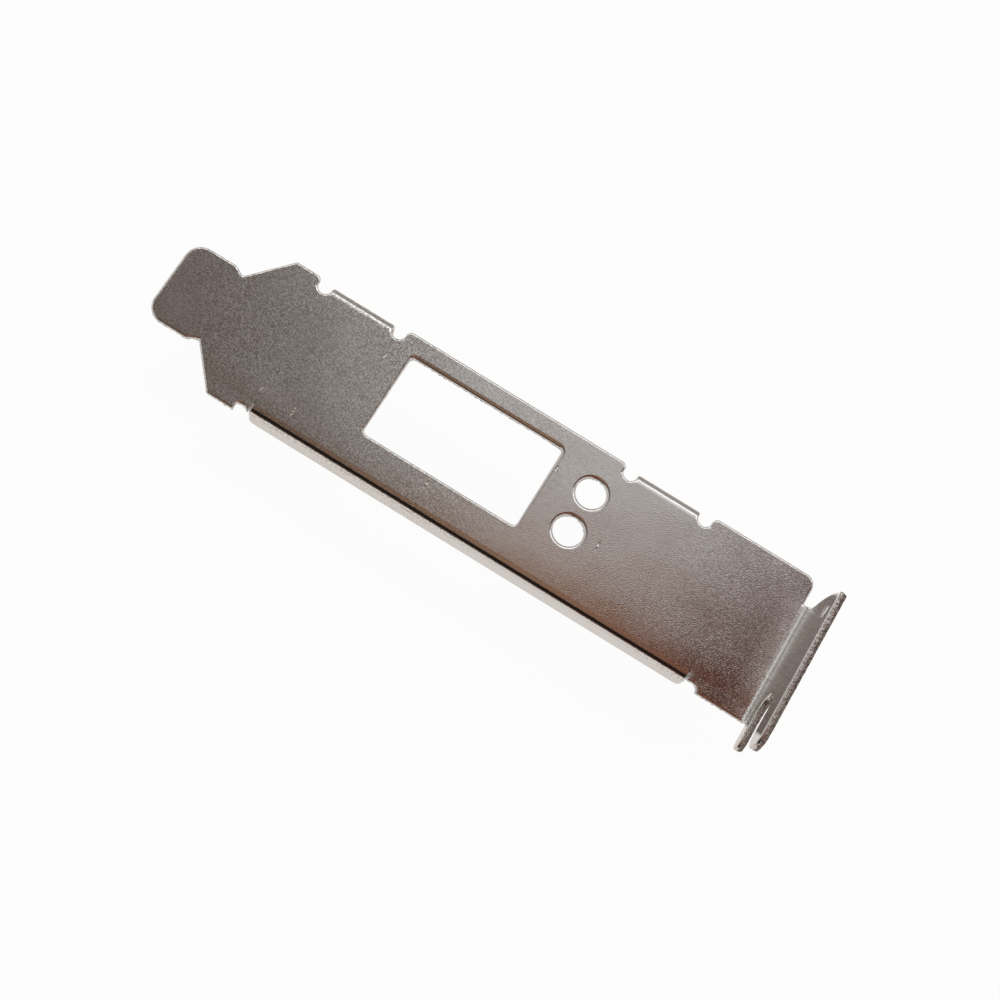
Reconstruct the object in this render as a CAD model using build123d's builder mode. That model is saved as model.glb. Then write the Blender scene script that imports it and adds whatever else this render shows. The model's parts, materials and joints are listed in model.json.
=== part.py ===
from build123d import *
import math
import os

# Low profile bracket for a half height expansion card: one sheet of plated steel, punched and
# folded. Millimetres. The plate lies level with its outer face up. Its long axis runs along X,
# from the tongue that enters the chassis to the flange that is screwed down.
# The origin is the middle of the screw slot's round end, on the flange's seat.

# Sheet
sheet = 0.86

# Plate, measured from the tongue's tip along the centre line
plate_width = 18.42
seat_length = 78.34  # tongue's tip to the flange's seat
plate_end_corner = 1.3

# Tongue
tongue_width = 10.19
tongue_corner = 2.0
neck_station = 6.57  # where the shoulders start
neck_depth = 0.69  # from the tongue's side in to the neck
neck_slope = 29  # degrees by which the side turns in
heel_corner = 0.5  # where the tongue's side turns in
neck_corner = 0.3
shoulder_angle = 49.8
shoulder_corner = 0.3

# Mounting tabs, folded back from the far edge
first_tab = 19.59
tab_spacing = 39.56
tab_length = 8.0
tab_depth = 8.9
tab_bend = 0.3  # inner radius
tab_corner = 2.0
relief_width = 1.61  # punched clear beside each tab
relief_depth = 1.61
relief_corner = 0.7
screw_depth = 5.2  # outer face to the tapped hole
screw_radius = 0.89  # tapping size for a small machine screw

# Stiffening lip, folded back from the near edge
lip_start = 15.5
lip_end = 70.85
lip_inset = 0.66  # its outer face lies inside the plate's edge
lip_depth = 3.3
lip_bend = 0.24  # inner radius
lip_taper = 0.25  # each end draws in by this much at the bottom
lip_corner = 0.8
tongue_notch_start = 13.97
tongue_notch_depth = 0.96
tongue_notch_corner = 0.3
tongue_notch_slope = 0.65  # length of the slanted side next to the lip
tongue_notch_rise = 0.38
flange_notch_end = 72.3
flange_notch_depth = 0.81
flange_notch_corner = 0.75

# Openings in the plate, from the tongue's tip and the centre line
opening_length = 19.48
opening_width = 10.58
opening_corner = 0.6
opening_x = 36.86
opening_y = 1.44
light_radius = 1.75
light_pitch = 5.08
light_x = 51.74
light_y = 1.49

# Flange, folded forward. Its heights are measured along the seat from the plate's outer face.
flange_turn = 86  # degrees of fold, so that it leans out by what is left to 90
flange_bend = 0.49  # inner radius
flange_height = 11.3
foot_side = 5.9  # far side at the fold, from the centre line
foot_height = 0.5
waist_side = 5.35  # far side where it is narrowest
waist_height = 3.5
ear_side = 5.62  # far side where it bulges out again
ear_height = 7.0
ear_top_side = 5.05  # far side at the free edge
flange_corner = 0.45
slot_width = 4.42
slot_height = 5.49
slot_depth_line = -8.8  # middle of the slot's round end, from the centre line
upper_prong_tip = -14.12
lower_prong_tip = -12.98
lower_prong_width = 1.93
flange_neck_corner = 0.45

# Worked out from the sizes above
half_width = plate_width / 2
lean = math.radians(90 - flange_turn)
fold_setback = flange_bend * math.tan(math.radians(flange_turn / 2))
plate_end = seat_length - fold_setback
tab_foot = half_width - tab_bend - sheet
lip_foot = half_width - lip_inset - lip_bend - sheet
window_length = tab_length + 2 * relief_width

# The plate's outer face, with its local origin at the middle of the tongue's tip
seat_point_x = seat_length + slot_height * math.sin(lean)
outer_face = Plane(origin=(-seat_point_x, -slot_depth_line, -slot_height * math.cos(lean)))


def across(station):
    """Plane square to the length at this distance from the tongue's tip: local X is Y, local Y is Z."""
    return Plane(origin=outer_face.from_local_coords((station, 0, 0)), x_dir=(0, 1, 0), z_dir=(1, 0, 0))


def alongside(offset):
    """Plane along the length at this distance from the centre line: local X is X, local Y is Z."""
    return Plane(origin=outer_face.from_local_coords((0, offset, 0)), x_dir=(1, 0, 0), z_dir=(0, -1, 0))


def fold_section(plane, foot, side, turn, inner_radius, run):
    """Section of the sheet through one fold: a bend that starts at foot, and a straight run."""
    with BuildSketch(plane) as section:
        with BuildLine():
            bend = JernArc((foot, -sheet / 2), (side, 0), inner_radius + sheet / 2, turn)
            Line(bend @ 1, bend @ 1 + (bend % 1) * run)
        trace(line_width=sheet)
    return section.sketch


# Flange with its open screw slot
seat = Plane(
    origin=outer_face.from_local_coords((seat_length, 0, 0)),
    x_dir=(0, 1, 0),
    z_dir=(math.cos(lean), 0, -math.sin(lean)),
)
slot_top = slot_height + slot_width / 2
slot_bottom = slot_height - slot_width / 2
upper_prong_radius = (flange_height - slot_top) / 2
lower_prong_radius = lower_prong_width / 2
lower_prong_bottom = slot_bottom - lower_prong_width

with BuildPart() as flange:
    flange_section = fold_section(
        alongside(half_width), plate_end, 1, flange_turn, flange_bend, flange_height - fold_setback
    )
    extrude(flange_section, amount=half_width - upper_prong_tip, dir=(0, -1, 0))
    with BuildSketch(seat) as flange_outline:
        with BuildLine():
            foot = Line((foot_side, -2 * sheet), (foot_side, foot_height))
            ear = ThreePointArc(
                (waist_side, waist_height), (ear_side, ear_height), (ear_top_side, flange_height)
            )
            TangentArc(ear @ 0, foot @ 1, tangent=-(ear % 0))
            top = Line(ear @ 1, (upper_prong_tip + upper_prong_radius, flange_height))
            upper_tip = JernArc(top @ 1, (-1, 0), upper_prong_radius, 180)
            slot_roof = Line(upper_tip @ 1, (slot_depth_line, slot_top))
            slot_end = JernArc(slot_roof @ 1, (1, 0), slot_width / 2, -180)
            slot_floor = Line(slot_end @ 1, (lower_prong_tip + lower_prong_radius, slot_bottom))
            lower_tip = JernArc(slot_floor @ 1, (-1, 0), lower_prong_radius, 180)
            underside = Line(lower_tip @ 1, (-half_width, lower_prong_bottom))
            neck = Line(underside @ 1, (-half_width, -2 * sheet))
            Line(neck @ 1, foot @ 0)
        make_face()
        fillet(flange_outline.vertices().sort_by_distance(ear @ 1)[0], flange_corner)
        fillet(flange_outline.vertices().sort_by_distance(underside @ 1)[0], flange_neck_corner)
    extrude(amount=2 * (sheet + flange_bend), both=True, mode=Mode.INTERSECT)

# Lip
with BuildPart() as lip:
    lip_section = fold_section(
        across(lip_start), -lip_foot, -1, 90, lip_bend, lip_depth - sheet - lip_bend
    )
    extrude(lip_section, amount=lip_end - lip_start, dir=(1, 0, 0))
    with BuildSketch(alongside(0)) as lip_outline:
        with BuildLine():
            Polyline(
                (lip_start, 0),
                (lip_end, 0),
                (lip_end - lip_taper, -lip_depth),
                (lip_start + lip_taper, -lip_depth),
                close=True,
            )
        make_face()
        fillet(lip_outline.vertices().group_by(Axis.Y)[0], lip_corner)
    extrude(amount=half_width, mode=Mode.INTERSECT)

# One tab with its tapped hole
with BuildPart() as tab:
    tab_section = fold_section(
        across(first_tab - tab_length / 2), tab_foot, 1, -90, tab_bend, tab_depth - sheet - tab_bend
    )
    extrude(tab_section, amount=tab_length, dir=(1, 0, 0))
    fillet(tab.edges().filter_by(Axis.Y).group_by(Axis.Z)[0], tab_corner)
    with BuildSketch(alongside(half_width)):
        with Locations((first_tab, -screw_depth)):
            Circle(screw_radius)
    extrude(amount=2 * sheet, mode=Mode.SUBTRACT)

# Plate, with the folds joined on
with BuildPart() as bracket:
    with BuildSketch(outer_face) as blank:
        tongue_side = tongue_width / 2
        neck_side = tongue_side - neck_depth
        heel_station = neck_station - neck_depth / math.tan(math.radians(neck_slope))
        shoulder_run = (half_width - neck_side) / math.tan(math.radians(shoulder_angle))
        shoulder_end = neck_station + shoulder_run
        with BuildLine():
            Polyline(
                (0, tongue_side),
                (heel_station, tongue_side),
                (neck_station, neck_side),
                (shoulder_end, half_width),
                (plate_end, half_width),
            )
            mirror(about=Plane.XZ)
            Line((0, tongue_side), (0, -tongue_side))
            Line((plate_end, half_width), (plate_end, -half_width))
        make_face()
        rounded_corners = (
            (0, tongue_side, tongue_corner),
            (heel_station, tongue_side, heel_corner),
            (neck_station, neck_side, neck_corner),
            (shoulder_end, half_width, shoulder_corner),
        )
        for station, offset, radius in rounded_corners:
            fillet(blank.vertices().sort_by_distance((station, offset))[0], radius)
            fillet(blank.vertices().sort_by_distance((station, -offset))[0], radius)

        # Windows beside and behind the tabs
        tab_places = [(first_tab, tab_foot), (first_tab + tab_spacing, tab_foot)]
        with Locations(*tab_places):
            Rectangle(window_length, sheet + tab_bend, align=(Align.CENTER, Align.MIN), mode=Mode.SUBTRACT)
        for place in tab_places:
            for way in (-1, 1):
                relief_x = place[0] + way * (tab_length + relief_width) / 2
                with Locations((relief_x, half_width)):
                    SlotOverall(2 * relief_depth, relief_width, rotation=90, mode=Mode.SUBTRACT)
        far_corners = blank.vertices().group_by(Axis.Y)[-1].sort_by(Axis.X)
        fillet(far_corners[1:5], relief_corner)
        fillet(blank.vertices().group_by(Axis.Y)[-1].sort_by(Axis.X)[-1], plate_end_corner)

        # Room for the lip, with a notch at each end
        with BuildLine():
            Polyline(
                (tongue_notch_start, -half_width),
                (tongue_notch_start, -half_width + tongue_notch_depth),
                (lip_start - tongue_notch_slope, -half_width + tongue_notch_depth),
                (lip_start, -half_width + tongue_notch_depth - tongue_notch_rise),
                (lip_start, -lip_foot),
                (lip_end, -lip_foot),
                (lip_end, -half_width + flange_notch_depth),
                (flange_notch_end, -half_width + flange_notch_depth),
                (flange_notch_end, -half_width),
                close=True,
            )
        make_face(mode=Mode.SUBTRACT)
        tongue_notch = (tongue_notch_start, -half_width + tongue_notch_depth)
        fillet(blank.vertices().sort_by_distance(tongue_notch)[0], tongue_notch_corner)
        flange_notch = (flange_notch_end, -half_width + flange_notch_depth)
        fillet(blank.vertices().sort_by_distance(flange_notch)[0], flange_notch_corner)

        # Connector opening and two holes for indicator lights
        with Locations((opening_x, opening_y)):
            RectangleRounded(opening_length, opening_width, opening_corner, mode=Mode.SUBTRACT)
        with Locations((light_x, light_y - light_pitch / 2), (light_x, light_y + light_pitch / 2)):
            Circle(light_radius, mode=Mode.SUBTRACT)
    extrude(amount=-sheet)
    add(flange.part)
    add(lip.part)
    with Locations((0, 0, 0), (tab_spacing, 0, 0)):
        add(tab.part)

os.makedirs("parts", exist_ok=True)
bracket.part.label = "bracket"
export_step(bracket.part, "parts/bracket.step")
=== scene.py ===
import json
import math

import bmesh
import bpy
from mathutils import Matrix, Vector, noise


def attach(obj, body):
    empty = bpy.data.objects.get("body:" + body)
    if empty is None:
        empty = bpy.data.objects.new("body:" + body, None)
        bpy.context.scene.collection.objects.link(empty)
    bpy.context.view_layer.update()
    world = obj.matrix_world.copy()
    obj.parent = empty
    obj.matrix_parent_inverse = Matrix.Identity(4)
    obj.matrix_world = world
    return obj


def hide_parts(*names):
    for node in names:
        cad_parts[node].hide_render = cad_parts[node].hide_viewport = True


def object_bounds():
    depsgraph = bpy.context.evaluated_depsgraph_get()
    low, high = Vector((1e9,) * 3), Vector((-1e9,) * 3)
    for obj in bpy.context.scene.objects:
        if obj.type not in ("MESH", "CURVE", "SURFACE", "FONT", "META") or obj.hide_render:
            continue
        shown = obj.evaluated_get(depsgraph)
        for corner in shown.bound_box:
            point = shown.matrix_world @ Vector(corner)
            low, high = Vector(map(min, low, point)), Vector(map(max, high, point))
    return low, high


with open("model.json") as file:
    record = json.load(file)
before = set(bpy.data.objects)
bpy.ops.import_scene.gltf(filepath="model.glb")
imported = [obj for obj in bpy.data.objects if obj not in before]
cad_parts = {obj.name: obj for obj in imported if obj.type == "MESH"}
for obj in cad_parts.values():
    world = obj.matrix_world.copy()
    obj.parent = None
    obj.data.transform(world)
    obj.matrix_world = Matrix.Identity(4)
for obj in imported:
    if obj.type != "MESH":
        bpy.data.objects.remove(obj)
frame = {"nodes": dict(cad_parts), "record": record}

# Low profile bracket, seen from above its outer face. Metres throughout.
# Its long axis is X, the flange stands at +X, and the plate's outer face looks up.

MM = 0.001
cad_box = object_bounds()
mounts = {mount["name"]: mount for mount in frame["record"]["mounts"]}

# The sheet. Depths are measured from its outer side.
SHEET = 0.86 * MM
PLATE_LEVEL = mounts["outer_face"]["pos_m"][2]

# Rims, where the punch came down and the outer side curls over into the cut
RIM_WIDTH = 0.28 * MM
LIGHT_RIM_WIDTH = 0.42 * MM  # round the two light holes
FAR_RIM_WIDTH = 0.5 * MM  # along the opening's far edge
RIM_PROFILE = (  # way out from the flat part and drop, both in widths of the rim, from the edge inwards
    (1.0, 0.42),
    (0.87, 0.22),
    (0.67, 0.10),
    (0.36, 0.025),
    (0.0, 0.0),
)
LIGHTS_X = (-30 * MM, -24 * MM)  # the part of the plate that holds the two light holes
LIGHTS_Y = (4 * MM, 16 * MM)
OPENING_X = (-53 * MM, -31 * MM)
OPENING_FAR_Y = (13.5 * MM, 15.6 * MM)  # the rim widens over this part of the opening's ends

# Torn walls, where the steel gave way before the punch was through
TEAR_ROWS = 2
TEAR_LEVEL = 0.44 * MM  # the cut is clean down to here
TEAR_DRAW = 0.13 * MM  # how far the wall has drawn in at the back
TEAR_UNEVEN = 0.12 * MM  # how far it strays, in waves and ripples of these sizes along the cut
TEAR_WAVE = 0.33 * MM
TEAR_RIPPLE = 0.14 * MM

# How the sheet is divided into faces
FACET_LENGTH = 0.16 * MM  # along a cut
LONGEST_WAY_IN = 2.5  # in widths of the rim; with a longer way in a point is at a sharp corner, not curled
SAME_POINT = 0.001 * MM
SAME_PLANE = math.radians(0.5)
SMOOTH_BELOW = math.radians(40)
SAME_SIDE = math.radians(50)  # faces that meet at less than this are on the same side of the sheet

# Folds. The plate already bends a little just before each of them.
FOLD_LINE = -0.85 * MM  # along X, where it turns up into the flange
LIP_LINE = 1.35 * MM  # along Y, where it turns down into the lip
FLANGE_SIDE = 13.6 * MM  # along Y, the flange's far side
CROWN = 2.6 * MM  # how far from a fold the bend starts

# Heights of bumps, in millimetres
PEBBLE_HEIGHT = 0.0058
WAVE_HEIGHT = 0.05
FOLD_LIFT = 0.035
LIP_FALL = 0.02
SCRATCH_DEPTH = 0.012
DENT_DEPTH = 0.12
TEAR_HEIGHT = 0.07
STREAK_HEIGHT = 0.03

# Fineness of the finishes, in waves per metre
PEBBLES = 9500.0
GRAIN = 8500.0
TEARS = 5200.0
SCRATCH_GAPS = 2600.0
STREAKS = 2400.0
SMUDGES = 200.0
CLOUDS = 150.0
WAVES = 110.0
PATCHES = 90.0

# Tints of the finishes, each pair from one end of its pattern to the other
PLATE_TINTS = ((0.655, 0.64, 0.63), (0.725, 0.71, 0.70))
GRAIN_TINTS = ((0.90, 0.88, 0.86), (0.36, 0.33, 0.30))
# Torn steel's own grain, darkened past bare steel: partly painted shade for the brown that the torn walls
# mirror
TEAR_TINTS_AND_SHADE = ((0.09, 0.06, 0.05), (0.38, 0.32, 0.285))
SCRATCH_TINT = (0.92, 0.90, 0.88)
SCRATCH_SHARE = 0.85  # of this tint in the middle of a scratch

# The plate's grain is faintest round this place along X, and grows over these distances from it. The grain is
# the plating's own, but its fading here is painted sheen where the plate mirrors the bright glow, and its
# growth towards both ends is painted shade that darkens them a little.
PAINTED_SHEEN_PLACE = -24 * MM
PAINTED_SHEEN_REACH = (6 * MM, 18 * MM)

# Marks of use: short scratches across the plate, and a dent in the flange's upper side
SCRATCHES = (  # middle and half length in millimetres
    ((-59.1, 2.7), 1.1),
    ((-63.4, 3.4), 0.7),
    ((-54.2, 14.0), 0.6),
    ((-42.7, 3.6), 1.0),
    ((-40.9, 3.2), 0.8),
    ((-31.6, 13.1), 0.5),
    ((-23.4, 8.0), 0.8),
    ((-3.4, 1.4), 0.5),
)
SCRATCH_WIDTH = 0.14 * MM
DENT_PLACE = (0.3 * MM, 11.9 * MM, 3.4 * MM)
DENT_REACH = 1.15 * MM

# Regions of the sheet. The first two are also the material slots of its faces.
OUTER_SIDE = 0
CUT_WALL = 1
BACK_SIDE = 2

# Room that the metal mirrors
DIM_CEILING = (0.13, 0.10, 0.087)
PALE_GLOW = (1.12, 1.13, 1.13)
PALE_WALL = (1.0, 0.92, 0.89)
WARM_WALL = (0.46, 0.215, 0.10)
BROWN_SHADES = ((0.075, 0.01, 0.006), (0.09, 0.025, 0.018))
WOOD_SHADES = ((0.17, 0.12, 0.09), (0.33, 0.20, 0.13))
WOOD_IN_SHADE = (0.20, 0.08, 0.055)
WINDOW = (1.6, 1.6, 1.6)
WALL_BELOW_WINDOW = (0.40, 0.39, 0.38)
NEAR_SIDE = (0.015, 0.012, 0.01)
END_WALLS = (0.72, 0.71, 0.70)
WHITE = (1.0, 1.0, 1.0)

# Table. It glows to the camera and in the metal, and takes the bracket's shadow.
TABLE_SIZE = 4.0
TABLE_TINT = (0.9, 0.9, 0.9)
TABLE_AS_MIRRORED = (1.0, 0.95, 0.91)
TABLE_TO_CAMERA = 1.04  # strength of its glow as the camera sees it
TABLE_GLOW_SHARE = 0.9
STRIP_NEAR_SIDE = (15 * MM, 30 * MM)  # along Y, where the strip that the metal mirrors grows bright
STRIP_FAR_SIDE = (36 * MM, 48 * MM)  # and where it fades

# Camera, at the photograph's angle
CAMERA_PLACE = (-27.8 * MM, -68.81 * MM, 210.84 * MM)
CAMERA_TURN = tuple(math.radians(angle) for angle in (17.426, -8.444, 30.557))
CAMERA_LENS = 76.08
CAMERA_SENSOR = 36.0


# Small helpers for shader trees

def new_material(name):
    """Empty material with an output node, ready for its own shader."""
    material = bpy.data.materials.new(name)
    material.use_nodes = True
    tree = material.node_tree
    tree.nodes.clear()
    output = tree.nodes.new("ShaderNodeOutputMaterial")
    return material, tree, output


def add_node(tree, kind, **settings):
    """Node of this kind with its settings given by name."""
    node = tree.nodes.new(kind)
    for key, value in settings.items():
        setattr(node, key, value)
    return node


def feed(tree, socket, source):
    """Puts a number, a colour or another node's output into a socket."""
    if isinstance(source, bpy.types.NodeSocket):
        tree.links.new(source, socket)
    elif isinstance(source, tuple):
        socket.default_value = source + (1.0,)
    else:
        socket.default_value = source


def split_vector(tree, vector):
    """The X, Y and Z of a vector."""
    split = add_node(tree, "ShaderNodeSeparateXYZ")
    feed(tree, split.inputs["Vector"], vector)
    return split.outputs["X"], split.outputs["Y"], split.outputs["Z"]


def add_noise(tree, place, scale, detail=2.0, roughness=0.5):
    """Noise over the given coordinates, scale in waves per metre."""
    waves = add_node(tree, "ShaderNodeTexNoise")
    waves.inputs["Scale"].default_value = scale
    waves.inputs["Detail"].default_value = detail
    waves.inputs["Roughness"].default_value = roughness
    feed(tree, waves.inputs["Vector"], place)
    return waves.outputs["Fac"]


def add_range(tree, value, low, high, to_low=0.0, to_high=1.0, soft=False):
    """Value stretched from low to high onto to_low to to_high, clamped."""
    stretch = add_node(tree, "ShaderNodeMapRange", clamp=True)
    if soft:
        stretch.interpolation_type = "SMOOTHSTEP"
    stretch.inputs["From Min"].default_value = low
    stretch.inputs["From Max"].default_value = high
    stretch.inputs["To Min"].default_value = to_low
    stretch.inputs["To Max"].default_value = to_high
    feed(tree, stretch.inputs["Value"], value)
    return stretch.outputs["Result"]


def add_math(tree, operation, first, second=0.0):
    """One sum on one or two values."""
    node = add_node(tree, "ShaderNodeMath", operation=operation)
    feed(tree, node.inputs[0], first)
    feed(tree, node.inputs[1], second)
    return node.outputs["Value"]


def multiply(tree, first, *others):
    """Two or more values multiplied."""
    for other in others:
        first = add_math(tree, "MULTIPLY", first, other)
    return first


def add_mix(tree, factor, first, second):
    """Colour mix: first and second are colours or sockets."""
    mix = add_node(tree, "ShaderNodeMix", data_type="RGBA")
    feed(tree, mix.inputs["Factor"], factor)
    feed(tree, mix.inputs["A"], first)
    feed(tree, mix.inputs["B"], second)
    return mix.outputs["Result"]


# Finishes

def plating():
    """Node group for plated rolled steel: its grained tint, with painted sheen where the grain fades and
    painted shade where it grows, and its pebbled height in millimetres.
    """
    group = bpy.data.node_groups.new("plating", "ShaderNodeTree")
    group.interface.new_socket("Place", in_out="INPUT", socket_type="NodeSocketVector")
    group.interface.new_socket("Color", in_out="OUTPUT", socket_type="NodeSocketColor")
    group.interface.new_socket("Height", in_out="OUTPUT", socket_type="NodeSocketFloat")
    place = add_node(group, "NodeGroupInput").outputs["Place"]
    result = add_node(group, "NodeGroupOutput")
    lengthwise = split_vector(group, place)[0]

    tint = add_mix(group, add_noise(group, place, CLOUDS, 3.0, 0.55), *PLATE_TINTS)
    grain = add_range(group, add_noise(group, place, GRAIN, 0.0), 0.34, 0.66)
    grained = add_mix(group, grain, *GRAIN_TINTS)
    # Painted sheen and shade: the grain fades round one place along X, where the plate mirrors the bright
    # glow, and grows towards both ends
    off_painted_sheen = add_math(group, "ABSOLUTE", add_math(group, "SUBTRACT", lengthwise, PAINTED_SHEEN_PLACE))
    strength = add_range(group, off_painted_sheen, *PAINTED_SHEEN_REACH, 0.25, 0.9)
    patches = add_range(group, add_noise(group, place, PATCHES), 0.3, 0.7, 0.45, 1.0)
    feed(group, result.inputs["Color"], add_mix(group, multiply(group, patches, strength), tint, grained))

    pebbles = multiply(group, add_noise(group, place, PEBBLES, 0.0), PEBBLE_HEIGHT)
    waves = multiply(group, add_noise(group, place, WAVES, 1.0), WAVE_HEIGHT)
    feed(group, result.inputs["Height"], add_math(group, "ADD", pebbles, waves))
    return group


def add_plating(tree, coat, place):
    """The plating's tint and height in a material."""
    plate = add_node(tree, "ShaderNodeGroup", node_tree=coat)
    feed(tree, plate.inputs["Place"], place)
    return plate.outputs["Color"], plate.outputs["Height"]


def bare_metal(tree, output, colour, roughness, height):
    """Metal shader with a bumped surface, its height in millimetres."""
    bump = add_node(tree, "ShaderNodeBump")
    bump.inputs["Strength"].default_value = 1.0
    bump.inputs["Distance"].default_value = MM
    feed(tree, bump.inputs["Height"], height)
    shader = add_node(tree, "ShaderNodeBsdfPrincipled")
    shader.inputs["Metallic"].default_value = 1.0
    feed(tree, shader.inputs["Base Color"], colour)
    feed(tree, shader.inputs["Roughness"], roughness)
    feed(tree, shader.inputs["Normal"], bump.outputs["Normal"])
    feed(tree, output.inputs["Surface"], shader.outputs["BSDF"])


def scratch_marks(tree, place):
    """Mask of the short scratches: a thin pointed oval each, broken up along its length."""
    marks = 0.0
    for middle, half_length in SCRATCHES:
        offset = add_node(tree, "ShaderNodeVectorMath", operation="SUBTRACT")
        feed(tree, offset.inputs[0], place)
        offset.inputs[1].default_value = (middle[0] * MM, middle[1] * MM, PLATE_LEVEL)
        squeeze = add_node(tree, "ShaderNodeVectorMath", operation="MULTIPLY")
        feed(tree, squeeze.inputs[0], offset.outputs["Vector"])
        squeeze.inputs[1].default_value = (1 / SCRATCH_WIDTH, 1 / (half_length * MM), 1 / MM)
        reach = add_node(tree, "ShaderNodeVectorMath", operation="LENGTH")
        feed(tree, reach.inputs[0], squeeze.outputs["Vector"])
        marks = add_math(tree, "MAXIMUM", add_range(tree, reach.outputs["Value"], 1.0, 0.5), marks)
    broken = add_range(tree, add_noise(tree, place, SCRATCH_GAPS, 1.0), 0.36, 0.54)
    return multiply(tree, marks, broken)


def shallow_dent(tree, place):
    """Mask of the dent in the flange's upper side, near its far corner."""
    distance = add_node(tree, "ShaderNodeVectorMath", operation="DISTANCE")
    feed(tree, distance.inputs[0], place)
    distance.inputs[1].default_value = DENT_PLACE
    return add_range(tree, distance.outputs["Value"], DENT_REACH, 0.0, soft=True)


def crown_at_folds(tree, place):
    """Height by which the plate rises towards the flange and falls towards the lip."""
    lengthwise, sideways, _ = split_vector(tree, place)
    to_fold = add_range(tree, lengthwise, FOLD_LINE - CROWN, FOLD_LINE)
    below_flange = add_range(tree, sideways, FLANGE_SIDE + CROWN, FLANGE_SIDE)
    to_lip = add_range(tree, sideways, LIP_LINE + CROWN, LIP_LINE)
    lift = multiply(tree, add_math(tree, "POWER", to_fold, 2.0), below_flange, FOLD_LIFT)
    fall = multiply(tree, add_math(tree, "POWER", to_lip, 2.0), LIP_FALL)
    return add_math(tree, "SUBTRACT", lift, fall)


def plated_face(coat):
    """Satin plating on the rolled faces of the sheet."""
    material, tree, output = new_material("plated_face")
    place = add_node(tree, "ShaderNodeTexCoord").outputs["Object"]
    colour, height = add_plating(tree, coat, place)
    marks = scratch_marks(tree, place)
    colour = add_mix(tree, multiply(tree, marks, SCRATCH_SHARE), colour, SCRATCH_TINT)
    smudges = add_noise(tree, place, SMUDGES, 3.0, 0.6)
    roughness = add_range(tree, smudges, 0.3, 0.7, 0.09, 0.13)
    height = add_math(tree, "ADD", height, crown_at_folds(tree, place))
    height = add_math(tree, "SUBTRACT", height, multiply(tree, marks, SCRATCH_DEPTH))
    height = add_math(tree, "SUBTRACT", height, multiply(tree, shallow_dent(tree, place), DENT_DEPTH))
    bare_metal(tree, output, colour, roughness, height)
    return material


def cut_wall(coat):
    """Cut face of the sheet: smooth where the punch slid, grained and darker where the steel tore, that
    darkness partly painted shade.
    """
    material, tree, output = new_material("cut_wall")
    place = add_node(tree, "ShaderNodeTexCoord").outputs["Object"]
    depth = add_node(tree, "ShaderNodeAttribute", attribute_name="cut_depth").outputs["Fac"]
    along_cut = add_node(tree, "ShaderNodeAttribute", attribute_name="cut_place").outputs["Vector"]
    streaks = add_noise(tree, along_cut, STREAKS, 3.0, 0.6)
    tears = add_noise(tree, place, TEARS, 3.0, 0.65)
    level = add_math(tree, "ADD", depth, add_range(tree, streaks, 0.3, 0.7, -0.14, 0.14))
    torn = add_range(tree, level, 0.46, 0.56)
    tint, _ = add_plating(tree, coat, place)
    # Painted shade: the torn part is darkened past the steel's own tone
    torn_tint_and_shade = add_mix(tree, add_range(tree, tears, 0.38, 0.62), *TEAR_TINTS_AND_SHADE)
    colour = add_mix(tree, torn, tint, torn_tint_and_shade)
    roughness = add_range(tree, torn, 0.0, 1.0, 0.25, 0.45)
    torn_height = multiply(tree, tears, torn, TEAR_HEIGHT)
    height = add_math(tree, "ADD", torn_height, multiply(tree, streaks, STREAK_HEIGHT))
    bare_metal(tree, output, colour, roughness, height)
    return material


# The bracket

def mark_side(shape, level, way, region):
    """Marks one side of the sheet, from the plate's face at this level on through every fold."""
    start = [
        face for face in shape.faces
        if way * face.normal.z > 0.99 and abs(face.calc_center_median().z - level) < 0.1 * SHEET
    ]
    side = set(start)
    while start:
        face = start.pop()
        for edge in face.edges:
            for other in edge.link_faces:
                if other not in side and other.normal.angle(face.normal) < SAME_SIDE:
                    side.add(other)
                    start.append(other)
    for face in side:
        face.material_index = region
    return list(side)


def rim_columns(shape, side, rows, width):
    """Adds rows of faces round one side of the sheet.

    Gives the edges of its rim, and for each point of the rim its column of points from the edge
    inwards, the direction in which the side faces there, and the way in, in widths of the rim.
    """
    rings = []
    for row in range(rows):
        ring = bmesh.ops.inset_region(shape, faces=side, thickness=width / rows, use_even_offset=True)
        rings.append(set(ring["faces"]))
        for face in ring["faces"]:
            face.material_index = side[0].material_index
    outermost = rings[0]
    rim = [
        edge for face in outermost for edge in face.edges
        if any(other.material_index == CUT_WALL for other in edge.link_faces)
    ]
    columns = {point: [point] for edge in rim for point in edge.verts}
    for ring in rings:
        for column in columns.values():
            post = next(edge for edge in column[-1].link_edges if ring.issuperset(edge.link_faces))
            column.append(post.other_vert(column[-1]))
    facing = {}
    inward = {}
    for point, column in columns.items():
        around = [face.normal for face in point.link_faces if face in outermost]
        facing[point] = sum(around, Vector()).normalized()
        inward[point] = (column[1].co - point.co) * rows / width
        if inward[point].length > LONGEST_WAY_IN:
            facing[point] = inward[point] = Vector()
    return rim, columns, facing, inward


def rim_width(place):
    """How far the outer side curls over at a cut edge: further where the punch came down hardest."""
    if LIGHTS_X[0] < place.x < LIGHTS_X[1] and LIGHTS_Y[0] < place.y < LIGHTS_Y[1]:
        return LIGHT_RIM_WIDTH
    if OPENING_X[0] < place.x < OPENING_X[1] and OPENING_FAR_Y[0] < place.y < OPENING_FAR_Y[1]:
        share = (place.y - OPENING_FAR_Y[0]) / (OPENING_FAR_Y[1] - OPENING_FAR_Y[0])
        return RIM_WIDTH + share * (FAR_RIM_WIDTH - RIM_WIDTH)
    return RIM_WIDTH


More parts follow.
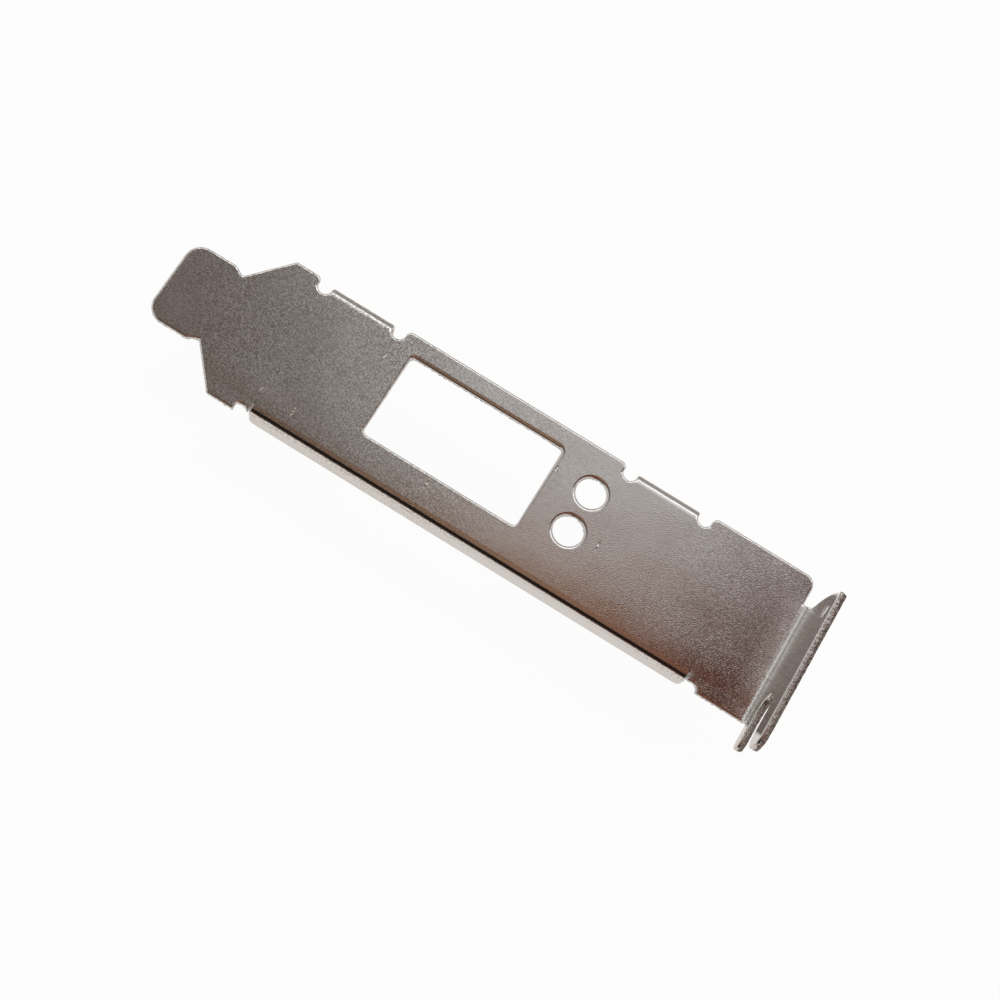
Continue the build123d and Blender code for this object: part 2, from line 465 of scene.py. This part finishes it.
def curl_rim(columns, facing, inward, depth_layer):
    """Lets the outer side sink towards the cut, gently at first and then over a small round."""
    for point, column in columns.items():
        edge_place = point.co.copy()
        width = rim_width(edge_place)
        for (way_out, drop), vertex in zip(RIM_PROFILE, column):
            vertex.co = edge_place + width * (inward[point] * (1 - way_out) - facing[point] * drop)
            vertex[depth_layer] = width * drop / SHEET


def draw_in_tear(columns, facing, inward, depth_layer):
    """Lifts the back rim up the wall and slants the torn part in towards the back."""
    for point, column in columns.items():
        edge_place = point.co.copy()
        for row, vertex in enumerate(column):
            share = row / (len(column) - 1)
            lift = (SHEET - TEAR_LEVEL) * (1 - share)
            vertex.co = edge_place + inward[point] * TEAR_DRAW * share ** 1.5 - facing[point] * lift
            vertex[depth_layer] = 1 - lift / SHEET


def split_evenly(edge, start, parts):
    """Divides an edge into equal parts, and gives the new points in order from its start."""
    far = edge.other_vert(start)
    points = []
    for left in range(parts, 1, -1):
        start = bmesh.utils.edge_split(edge, start, 1 / left)[1]
        edge = next(other for other in start.link_edges if other.other_vert(start) is far)
        points.append(start)
    return points


def join_rungs(rungs):
    """Joins the points of each rung to those of the next, across the face between them."""
    for near, far in zip(rungs, rungs[1:]):
        for first, second in zip(near, far):
            face = next(face for face in first.link_faces if face in second.link_faces)
            bmesh.utils.face_split(face, first, second)


def divide_columns(shape, front, back):
    """Divides the rims and walls into short facets along every cut, as many on the front as on the back."""
    parts = {}
    for rim, _ in (front, back):
        for edge in rim:
            parts[edge] = max(1, round(edge.calc_length() / FACET_LENGTH))
    walls = []
    for face in shape.faces:
        rails = [edge for edge in face.edges if edge in parts]
        if face.material_index == CUT_WALL and len(face.verts) == 4 and len(rails) == 2:
            parts[rails[0]] = parts[rails[1]] = max(parts[edge] for edge in rails)
            walls.append(rails)
    across_wall = []
    for one, other in walls:
        first = one.verts[0]
        post = next(edge for edge in first.link_edges if edge.other_vert(first) in other.verts)
        across_wall.append((one, first, other, post.other_vert(first)))
    points = {}
    for rim, columns in (front, back):
        for edge in rim:
            first, second = edge.verts
            ends = list(zip(columns[first], columns[second]))
            edges = [shape.edges.get(pair) for pair in ends]
            rungs = [split_evenly(rung, pair[0], parts[edge]) for rung, pair in zip(edges, ends)]
            join_rungs(rungs)
            points[edge] = (first, rungs[0])
    for one, one_start, other, other_start in across_wall:
        near = points[one][1] if points[one][0] is one_start else points[one][1][::-1]
        far = points[other][1] if points[other][0] is other_start else points[other][1][::-1]
        join_rungs([near, far])


def roughen_tear(shape, depth_layer, facing_layer, inward_layer, place_layer):
    """Makes the torn part of each cut uneven along its length, and notes where each point of a cut lies."""
    clean_share = TEAR_LEVEL / SHEET
    for vertex in shape.verts:
        depth = vertex[depth_layer]
        facing = vertex[facing_layer]
        if facing.length < 0.5:
            continue
        place = vertex.co + facing * (depth - 0.5) * SHEET
        vertex[place_layer] = place
        if depth >= 0.999 * clean_share:
            torn = max(0.0, (depth - clean_share) / (1 - clean_share))
            ragged = noise.noise(place / TEAR_WAVE) + 0.5 * noise.noise(vertex.co / TEAR_RIPPLE)
            vertex.co += vertex[inward_layer] * TEAR_UNEVEN * ragged * torn
            vertex.co += facing * TEAR_UNEVEN * ragged * (1 - torn)


def punch_edges(mesh):
    """Gives the plain sheet its curled rims and torn walls, and sorts its faces into material slots."""
    shape = bmesh.new()
    shape.from_mesh(mesh)
    depth_layer = shape.verts.layers.float.new("cut_depth")
    facing_layer = shape.verts.layers.float_vector.new("cut_facing")
    inward_layer = shape.verts.layers.float_vector.new("cut_inward")
    place_layer = shape.verts.layers.float_vector.new("cut_place")
    for face in shape.faces:
        face.material_index = CUT_WALL
    outer_side = mark_side(shape, PLATE_LEVEL, 1, OUTER_SIDE)
    back_side = mark_side(shape, PLATE_LEVEL - SHEET, -1, BACK_SIDE)
    front = rim_columns(shape, outer_side, len(RIM_PROFILE) - 1, RIM_WIDTH)
    back = rim_columns(shape, back_side, TEAR_ROWS, TEAR_DRAW)
    curl_rim(*front[1:], depth_layer)
    draw_in_tear(*back[1:], depth_layer)
    for way, (_, columns, facing, inward) in ((1, front), (-1, back)):
        for point, column in columns.items():
            for vertex in column:
                vertex[facing_layer] = way * facing[point]
                vertex[inward_layer] = inward[point]
    divide_columns(shape, front[:2], back[:2])
    roughen_tear(shape, depth_layer, facing_layer, inward_layer, place_layer)
    for face in shape.faces:
        if face.material_index == BACK_SIDE:
            torn = len(face.verts) == 4 and all(vertex[depth_layer] > 0.5 for vertex in face.verts)
            face.material_index = CUT_WALL if torn else OUTER_SIDE
    shape.to_mesh(mesh)
    shape.free()


def folded_sheet():
    """The bracket as one skin, its rims curled over by the punch, its cut walls torn towards the back."""
    node = frame["nodes"]["bracket"]
    sheet = bpy.data.objects.new("folded_sheet", node.data.copy())
    bpy.context.scene.collection.objects.link(sheet)
    bpy.ops.object.select_all(action="DESELECT")
    bpy.context.view_layer.objects.active = sheet
    sheet.select_set(True)
    coat = plating()
    sheet.data.materials.clear()
    for material in (plated_face(coat), cut_wall(coat)):
        sheet.data.materials.append(material)

    bpy.ops.object.mode_set(mode="EDIT")
    bpy.ops.mesh.select_all(action="SELECT")
    bpy.ops.mesh.customdata_custom_splitnormals_clear()
    bpy.ops.mesh.remove_doubles(threshold=SAME_POINT)
    bpy.ops.mesh.dissolve_limited(angle_limit=SAME_PLANE)
    bpy.ops.object.mode_set(mode="OBJECT")
    punch_edges(sheet.data)

    bpy.ops.object.shade_smooth_by_angle(angle=SMOOTH_BELOW)
    bpy.ops.object.modifier_add(type="WEIGHTED_NORMAL")
    sheet.modifiers["WeightedNormal"].keep_sharp = True
    sheet.modifiers["WeightedNormal"].weight = 100
    bpy.ops.object.modifier_apply(modifier="WeightedNormal")
    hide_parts("bracket")
    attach(sheet, "root")
    return sheet


# Surroundings

def white_table(lowest):
    """Plain white table at the height of the tabs' tips. The metal mirrors a bright strip on its far side."""
    bpy.ops.object.select_all(action="DESELECT")
    bpy.ops.mesh.primitive_plane_add(size=TABLE_SIZE, location=(0, 0, lowest))
    table = bpy.context.object
    table.name = "table"
    material, tree, output = new_material("white_table")
    path = add_node(tree, "ShaderNodeLightPath")
    to_camera = path.outputs["Is Camera Ray"]
    mirrored = path.outputs["Is Glossy Ray"]
    place = add_node(tree, "ShaderNodeTexCoord").outputs["Object"]
    _, sideways, _ = split_vector(tree, place)
    brighter = add_range(tree, sideways, *STRIP_NEAR_SIDE, 0.91, 1.5)
    strip = multiply(tree, brighter, add_range(tree, sideways, *STRIP_FAR_SIDE, 1.0, 0.3))
    plain = multiply(tree, to_camera, TABLE_TO_CAMERA)
    strength = add_math(tree, "ADD", plain, multiply(tree, mirrored, strip))
    glow = add_node(tree, "ShaderNodeEmission")
    feed(tree, glow.inputs["Color"], add_mix(tree, mirrored, WHITE, TABLE_AS_MIRRORED))
    feed(tree, glow.inputs["Strength"], strength)
    lacquer = add_node(tree, "ShaderNodeBsdfDiffuse")
    feed(tree, lacquer.inputs["Color"], TABLE_TINT)
    seen = add_math(tree, "MAXIMUM", to_camera, mirrored)
    mix = add_node(tree, "ShaderNodeMixShader")
    feed(tree, mix.inputs["Fac"], multiply(tree, seen, TABLE_GLOW_SHARE))
    feed(tree, mix.inputs[1], lacquer.outputs["BSDF"])
    feed(tree, mix.inputs[2], glow.outputs["Emission"])
    feed(tree, output.inputs["Surface"], mix.outputs["Shader"])
    table.data.materials.append(material)
    return table


def soft_room():
    """Room as the metal mirrors it. To the camera itself it is plain white.

    A direction is told by how far it goes lengthwise, along X, and sideways, along Y, for each unit
    of height. For the camera, the flat of the plate mirrors from -0.24 to 0.13 lengthwise and from
    0.32 to 0.40 sideways.
    """
    world = bpy.data.worlds.new("room")
    bpy.context.scene.world = world
    world.use_nodes = True
    tree = world.node_tree
    way = add_node(tree, "ShaderNodeTexCoord").outputs["Generated"]
    way_x, way_y, way_z = split_vector(tree, way)
    height = add_math(tree, "MAXIMUM", way_z, 0.02)
    lengthwise = add_math(tree, "DIVIDE", way_x, height)
    sideways = add_math(tree, "DIVIDE", way_y, height)

    # Glow that grows towards the flange and the far side, and a pale wall beyond the tongue
    glow_lengthwise = add_range(tree, lengthwise, -0.25, -0.04)
    glow_sideways = add_range(tree, sideways, 0.27, 0.45, 0.10, 0.66)
    room = add_mix(tree, multiply(tree, glow_lengthwise, glow_sideways), DIM_CEILING, PALE_GLOW)
    past_tongue = add_range(tree, lengthwise, -0.28, -0.33, soft=True)
    wall_sideways = add_range(tree, sideways, 0.29, 0.39, 0.05, 0.58)
    room = add_mix(tree, multiply(tree, past_tongue, wall_sideways), room, PALE_WALL)

    # Warm and then deep brown towards the flange, further along on the far side
    warm_lengthwise = add_range(tree, lengthwise, -0.05, 0.02, soft=True)
    warm_sideways = add_range(tree, sideways, 0.362, 0.308, soft=True)
    room = add_mix(tree, multiply(tree, warm_lengthwise, warm_sideways), room, WARM_WALL)
    further = add_range(tree, sideways, 0.33, 0.40, 0.0, 0.078, soft=True)
    shade = add_range(tree, add_math(tree, "SUBTRACT", lengthwise, further), 0.022, 0.068, soft=True)
    brown = add_mix(tree, add_range(tree, sideways, 0.345, 0.385, soft=True), *BROWN_SHADES)
    room = add_mix(tree, shade, room, brown)

    # Wood overhead, mirrored where the plate curves down to the lip
    overhead = add_range(tree, sideways, 0.30, 0.17, soft=True)
    wood = add_mix(tree, add_range(tree, lengthwise, -0.16, 0.0), *WOOD_SHADES)
    room = add_mix(tree, overhead, room, add_mix(tree, shade, wood, WOOD_IN_SHADE))

    # Window beyond the far side, and the wall below it
    below_top = add_range(tree, sideways, 0.53, 0.58, soft=True)
    off_middle = add_math(tree, "ABSOLUTE", lengthwise)
    window = multiply(tree, below_top, add_range(tree, off_middle, 0.6, 0.45, soft=True))
    room = add_mix(tree, window, room, WINDOW)
    room = add_mix(tree, add_range(tree, sideways, 0.95, 1.1, soft=True), room, WALL_BELOW_WINDOW)

    # Dark near side where the viewer stands, and the walls past both ends
    towards_viewer = add_range(tree, way_y, -0.58, -0.72, soft=True)
    off_floor = add_range(tree, way_z, 0.18, 0.30, 0.3, 1.0)
    room = add_mix(tree, multiply(tree, towards_viewer, off_floor), room, NEAR_SIDE)
    past_ends = add_range(tree, add_math(tree, "ABSOLUTE", way_x), 0.36, 0.50, soft=True)
    room = add_mix(tree, past_ends, room, END_WALLS)

    to_camera = add_node(tree, "ShaderNodeLightPath").outputs["Is Camera Ray"]
    background = tree.nodes["Background"]
    feed(tree, background.inputs["Color"], add_mix(tree, to_camera, room, WHITE))
    return world


def camera_at_photo():
    """Camera at the photograph's place and angle."""
    bpy.ops.object.camera_add(location=CAMERA_PLACE, rotation=CAMERA_TURN)
    camera = bpy.context.object
    camera.data.lens = CAMERA_LENS
    camera.data.sensor_width = CAMERA_SENSOR
    camera.data.clip_start = 0.01
    bpy.context.scene.camera = camera
    return camera


folded_sheet()
white_table(cad_box[0][2])
soft_room()
camera_at_photo()
bpy.context.scene.view_settings.view_transform = "Standard"
